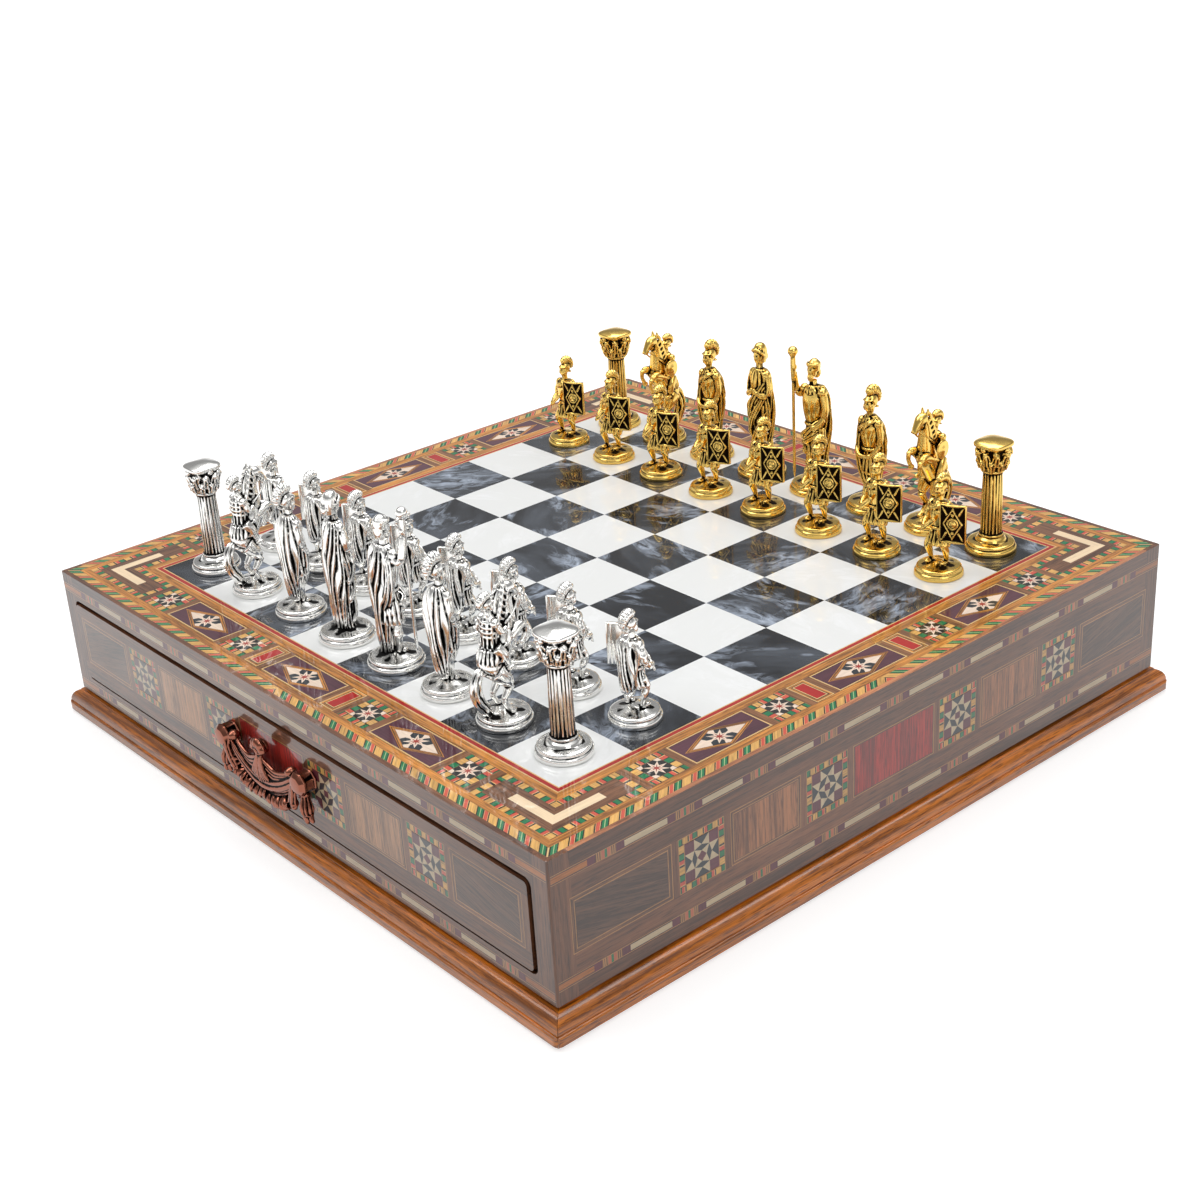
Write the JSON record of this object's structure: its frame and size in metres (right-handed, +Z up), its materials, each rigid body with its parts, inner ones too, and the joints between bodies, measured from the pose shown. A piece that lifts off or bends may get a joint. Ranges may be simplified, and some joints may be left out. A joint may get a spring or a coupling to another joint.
{
  "type": "chess box with drawers",
  "caption": "Square walnut chess box with a marquetry board as its lid, a pull-out drawer in the front and back, cast metal pulls and a set of figural metal chessmen.",
  "frame": {"origin": "on the floor under the middle of the box", "axes": "+Z up; the front drawer faces -Y and opens that way, the back drawer faces +Y; +X to the right as seen from the front; the silver men look towards +Y"},
  "size_m": [0.4114, 0.4182, 0.1623],
  "materials": {
    "walnut": "gloss lacquer",
    "honey_walnut": "gloss lacquer",
    "plywood": "satin",
    "felt": "short pile",
    "pearl_white": "pearly under gloss lacquer",
    "pearl_black": "pearly under gloss lacquer",
    "ivory_veneer": "gloss lacquer",
    "golden_veneer": "gloss lacquer",
    "coloured_veneer": "gloss lacquer",
    "purpleheart_veneer": "gloss lacquer",
    "padauk_veneer": "gloss lacquer",
    "copper": "antique copper plating",
    "steel": "zinc plated",
    "silver": "antique silver plating with dark crevices",
    "gold": "antique gold plating with dark crevices"
  },
  "bodies": {
    "casing": {"bottom_board": "plywood", "base_moulding": "honey_walnut", "foot_pads": "felt", "left_wall": "walnut", "right_wall": "walnut", "front_frame": "walnut", "back_frame": "walnut", "top_board": "plywood", "drawer_stop_rail": "plywood", "drawer_runners": "plywood", "drawer_kickers": "plywood", "light_squares": "pearl_white", "dark_squares": "pearl_black", "field_lines": "ivory_veneer", "border_ground": "golden_veneer", "border_rosettes": "coloured_veneer", "border_diamonds": "purpleheart_veneer", "border_bars": "padauk_veneer", "corner_frames": "coloured_veneer", "corner_chevrons": "ivory_veneer", "rope_band": "coloured_veneer", "side_stars": "coloured_veneer", "side_panels": "padauk_veneer", "dash_bands": "golden_veneer"},
    "back_drawer": {"back_drawer_face": "walnut", "back_drawer_stars": "coloured_veneer", "back_drawer_panels": "padauk_veneer", "back_drawer_sides": "plywood", "back_drawer_back": "plywood", "back_drawer_bottom": "plywood", "back_drawer_lining": "felt", "back_pull": "copper", "back_pull_screws": "steel"},
    "front_drawer": {"front_drawer_face": "walnut", "front_drawer_stars": "coloured_veneer", "front_drawer_panels": "padauk_veneer", "front_drawer_sides": "plywood", "front_drawer_back": "plywood", "front_drawer_bottom": "plywood", "front_drawer_lining": "felt", "front_pull": "copper", "front_pull_screws": "steel"},
    "silver_pawns": {"silver_pawns": "silver"},
    "silver_rooks": {"silver_rooks": "silver"},
    "silver_knights": {"silver_knights": "silver"},
    "silver_bishops": {"silver_bishops": "silver"},
    "silver_queen": {"silver_queen": "silver"},
    "silver_king": {"silver_king": "silver"},
    "gold_pawns": {"gold_pawns": "gold"},
    "gold_rooks": {"gold_rooks": "gold"},
    "gold_knights": {"gold_knights": "gold"},
    "gold_bishops": {"gold_bishops": "gold"},
    "gold_queen": {"gold_queen": "gold"},
    "gold_king": {"gold_king": "gold"}
  },
  "joints": [
    {"name": "back_drawer_slide", "type": "slide", "parent": "casing", "child": "back_drawer", "axis": [0, 1, 0], "range_m": [0, 0.15]},
    {"name": "front_drawer_slide", "type": "slide", "parent": "casing", "child": "front_drawer", "axis": [0, -1, 0], "range_m": [0, 0.15]},
    {"name": "lift_silver_pawns", "type": "slide", "parent": "casing", "child": "silver_pawns", "axis": [0, 0, 1], "range_m": [0, 0.1]},
    {"name": "lift_silver_rooks", "type": "slide", "parent": "casing", "child": "silver_rooks", "axis": [0, 0, 1], "range_m": [0, 0.1]},
    {"name": "lift_silver_knights", "type": "slide", "parent": "casing", "child": "silver_knights", "axis": [0, 0, 1], "range_m": [0, 0.1]},
    {"name": "lift_silver_bishops", "type": "slide", "parent": "casing", "child": "silver_bishops", "axis": [0, 0, 1], "range_m": [0, 0.1]},
    {"name": "lift_silver_queen", "type": "slide", "parent": "casing", "child": "silver_queen", "axis": [0, 0, 1], "range_m": [0, 0.1]},
    {"name": "lift_silver_king", "type": "slide", "parent": "casing", "child": "silver_king", "axis": [0, 0, 1], "range_m": [0, 0.1]},
    {"name": "lift_gold_pawns", "type": "slide", "parent": "casing", "child": "gold_pawns", "axis": [0, 0, 1], "range_m": [0, 0.1]},
    {"name": "lift_gold_rooks", "type": "slide", "parent": "casing", "child": "gold_rooks", "axis": [0, 0, 1], "range_m": [0, 0.1]},
    {"name": "lift_gold_knights", "type": "slide", "parent": "casing", "child": "gold_knights", "axis": [0, 0, 1], "range_m": [0, 0.1]},
    {"name": "lift_gold_bishops", "type": "slide", "parent": "casing", "child": "gold_bishops", "axis": [0, 0, 1], "range_m": [0, 0.1]},
    {"name": "lift_gold_queen", "type": "slide", "parent": "casing", "child": "gold_queen", "axis": [0, 0, 1], "range_m": [0, 0.1]},
    {"name": "lift_gold_king", "type": "slide", "parent": "casing", "child": "gold_king", "axis": [0, 0, 1], "range_m": [0, 0.1]}
  ]
}
